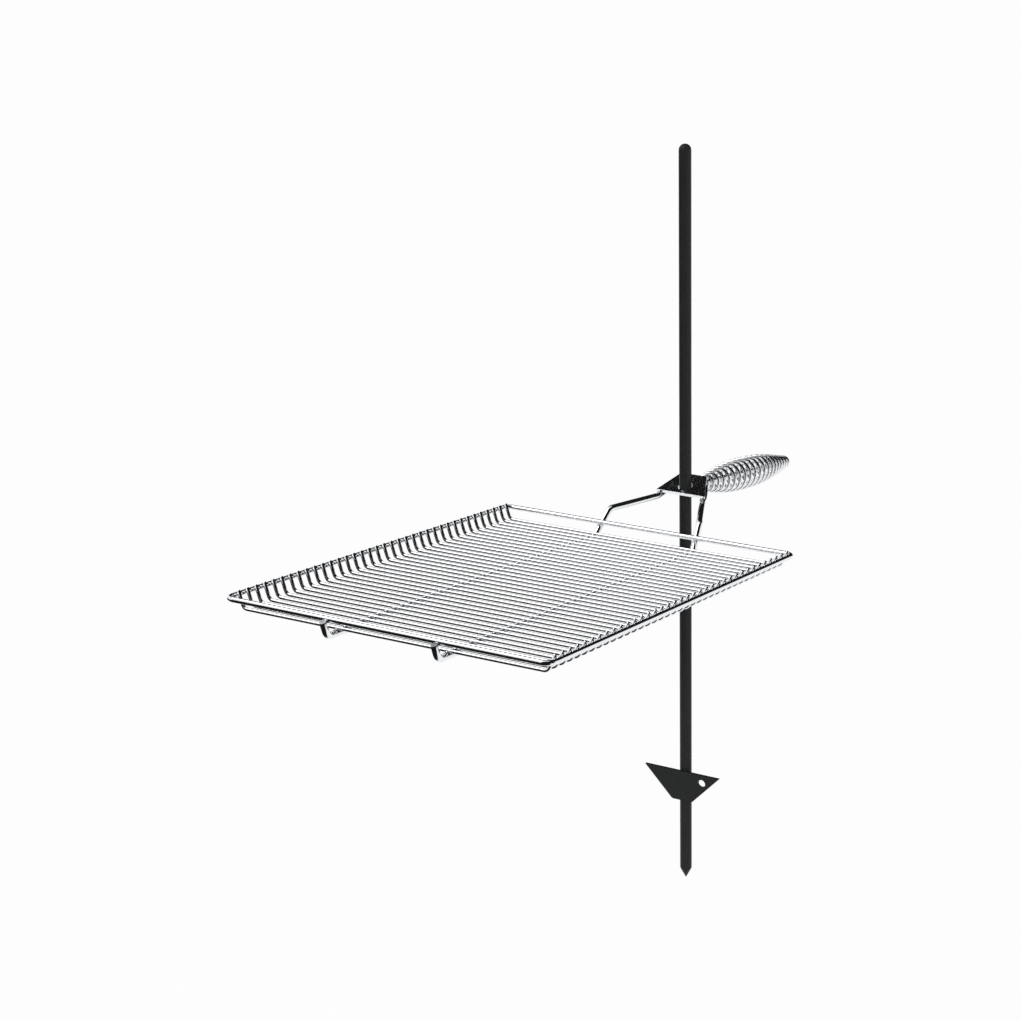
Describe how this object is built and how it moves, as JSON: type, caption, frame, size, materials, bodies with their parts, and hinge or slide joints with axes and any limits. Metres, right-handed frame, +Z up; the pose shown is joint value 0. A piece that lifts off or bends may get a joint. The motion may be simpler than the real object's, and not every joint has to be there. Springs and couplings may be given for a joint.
{
  "type": "campfire stake grill",
  "caption": "wire grate on bent rods that slides, turns and pinches on a round ground stake, with a coil-wrapped handle behind and a triangular anchor fin near the point",
  "frame": {"origin": "on the stake's axis at the ground line, level with the anchor fin's top edge", "axes": "+Z up along the stake; the grate stands out towards -Y and the handle towards +Y; +X to the right when seen from the front"},
  "size_m": [0.3096, 0.7855, 0.762],
  "materials": {
    "black_paint": "smooth semi-gloss black paint on steel",
    "bright_plating": "bright nickel and chrome plating on steel"
  },
  "bodies": {
    "anchor": {"anchor_fin": "black_paint"},
    "stake": {"stake": "black_paint"},
    "grill": {"pinch_plate": "bright_plating", "left_arm": "bright_plating", "right_arm": "bright_plating", "rim_wire": "bright_plating", "grid_wire_01": "bright_plating", "grid_wire_02": "bright_plating", "grid_wire_03": "bright_plating", "grid_wire_04": "bright_plating", "grid_wire_05": "bright_plating", "grid_wire_06": "bright_plating", "grid_wire_07": "bright_plating", "grid_wire_08": "bright_plating", "grid_wire_09": "bright_plating", "grid_wire_10": "bright_plating", "grid_wire_11": "bright_plating", "grid_wire_12": "bright_plating", "grid_wire_13": "bright_plating", "grid_wire_14": "bright_plating", "grid_wire_15": "bright_plating", "grid_wire_16": "bright_plating", "grid_wire_17": "bright_plating", "grid_wire_18": "bright_plating", "grid_wire_19": "bright_plating", "grid_wire_20": "bright_plating", "grid_wire_21": "bright_plating", "grid_wire_22": "bright_plating", "grid_wire_23": "bright_plating", "grid_wire_24": "bright_plating", "grid_wire_25": "bright_plating", "grid_wire_26": "bright_plating", "grid_wire_27": "bright_plating", "grid_wire_28": "bright_plating", "grid_wire_29": "bright_plating", "grid_wire_30": "bright_plating", "grid_wire_31": "bright_plating", "grid_wire_32": "bright_plating", "grid_wire_33": "bright_plating", "grid_wire_34": "bright_plating", "grid_wire_35": "bright_plating", "grid_wire_36": "bright_plating", "grid_wire_37": "bright_plating", "handle_rod": "bright_plating", "handle_coil": "bright_plating"}
  },
  "joints": [
    {"name": "grill_swivel", "type": "hinge", "parent": "anchor", "child": "stake", "pos_m": [0, 0, 0], "axis": [0, 0, 1], "continuous": true},
    {"name": "grill_height", "type": "slide", "parent": "stake", "child": "grill", "axis": [0, 0, 1], "range_m": [-0.24, 0.325]}
  ]
}
